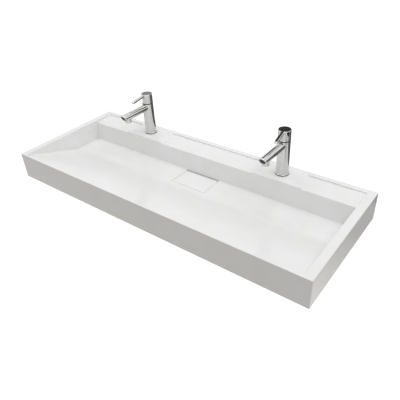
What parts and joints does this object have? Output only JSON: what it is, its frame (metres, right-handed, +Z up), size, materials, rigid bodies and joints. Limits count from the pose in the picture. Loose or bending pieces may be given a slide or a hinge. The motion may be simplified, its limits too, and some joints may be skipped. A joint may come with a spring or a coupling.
{
  "type": "washbasin",
  "caption": "Wide wall-hung washbasin slab with a sloping bowl, a lift-out drain cover, sunk rear trays and chrome single-lever mixers on raised platforms.",
  "frame": {"origin": "on the rear face, midway between the two wall bolts", "axes": "+X to the right along the wall, +Y into the wall, +Z up"},
  "size_m": [1.2, 0.46, 0.3275],
  "materials": {
    "mineral_cast": "gloss",
    "bush_plastic": "satin",
    "cover_rubber": "matte",
    "waste_chrome": "polished",
    "grid_steel": "satin",
    "seal_rubber": "matte",
    "washer_plastic": "satin",
    "nut_brass": "satin",
    "tap_chrome": "polished",
    "plug_grey": "gloss",
    "disc_black": "gloss",
    "aerator_plastic": "matte",
    "cartridge_plastic": "satin",
    "disc_ceramic": "satin",
    "steel": "satin"
  },
  "bodies": {
    "basin": {"basin_body": "mineral_cast", "wall_bushes": "bush_plastic", "waste_body": "waste_chrome", "waste_grid": "grid_steel", "grid_screw": "grid_steel", "waste_upper_seal": "seal_rubber", "waste_lower_seal": "seal_rubber", "waste_washer": "washer_plastic", "waste_nut": "nut_brass", "left_tap_body": "tap_chrome", "left_base_ring": "tap_chrome", "left_base_seal": "seal_rubber", "left_spout": "tap_chrome", "left_nose_disc": "disc_black", "left_aerator_ring": "tap_chrome", "left_aerator_insert": "aerator_plastic", "left_aerator_seal": "seal_rubber", "left_cartridge_housing": "cartridge_plastic", "left_fixed_disc": "disc_ceramic", "left_cartridge_nut": "nut_brass", "left_dome": "tap_chrome", "left_clamp_seal": "seal_rubber", "left_clamp_plate": "steel", "left_stud": "steel", "left_stud_nut": "nut_brass", "right_tap_body": "tap_chrome", "right_base_ring": "tap_chrome", "right_base_seal": "seal_rubber", "right_spout": "tap_chrome", "right_nose_disc": "disc_black", "right_aerator_ring": "tap_chrome", "right_aerator_insert": "aerator_plastic", "right_aerator_seal": "seal_rubber", "right_cartridge_housing": "cartridge_plastic", "right_fixed_disc": "disc_ceramic", "right_cartridge_nut": "nut_brass", "right_dome": "tap_chrome", "right_clamp_seal": "seal_rubber", "right_clamp_plate": "steel", "right_stud": "steel", "right_stud_nut": "nut_brass"},
    "cover": {"drain_cover": "mineral_cast", "cover_pads": "cover_rubber"},
    "left_turning": {"left_rotor": "cartridge_plastic", "left_pivot_pin": "steel"},
    "left_lever": {"left_handle": "tap_chrome", "left_stem": "nut_brass", "left_grub_screw": "steel", "left_handle_plug": "plug_grey"},
    "left_mixing": {"left_moving_disc": "disc_ceramic"},
    "right_turning": {"right_rotor": "cartridge_plastic", "right_pivot_pin": "steel"},
    "right_lever": {"right_handle": "tap_chrome", "right_stem": "nut_brass", "right_grub_screw": "steel", "right_handle_plug": "plug_grey"},
    "right_mixing": {"right_moving_disc": "disc_ceramic"}
  },
  "joints": [
    {"name": "cover_lift", "type": "slide", "parent": "basin", "child": "cover", "axis": [0, 0, 1], "range_m": [0, 0.1]},
    {"name": "left_handle_turn", "type": "hinge", "parent": "basin", "child": "left_turning", "pos_m": [-0.296, -0.056, 0.186], "axis": [0, 0, 1], "range_deg": [-47, 43]},
    {"name": "left_handle_lift", "type": "hinge", "parent": "left_turning", "child": "left_lever", "pos_m": [-0.296, -0.056, 0.186], "axis": [-0.9994, -0.0349, 0], "range_deg": [0, 20]},
    {"name": "left_disc_slide", "type": "slide", "parent": "left_turning", "child": "left_mixing", "axis": [0.0349, -0.9994, 0], "range_m": [0, 0.0056]},
    {"name": "right_handle_turn", "type": "hinge", "parent": "basin", "child": "right_turning", "pos_m": [0.296, -0.056, 0.186], "axis": [0, 0, 1], "range_deg": [-53.5, 36.5]},
    {"name": "right_handle_lift", "type": "hinge", "parent": "right_turning", "child": "right_lever", "pos_m": [0.296, -0.056, 0.186], "axis": [-0.989, -0.1478, 0], "range_deg": [0, 20]},
    {"name": "right_disc_slide", "type": "slide", "parent": "right_turning", "child": "right_mixing", "axis": [0.1478, -0.989, 0], "range_m": [0, 0.0056]}
  ],
  "couplings": [
    {"joint": "left_disc_slide", "follows": "left_handle_lift", "m_per_rad": 0.01568},
    {"joint": "right_disc_slide", "follows": "right_handle_lift", "m_per_rad": 0.01568}
  ]
}
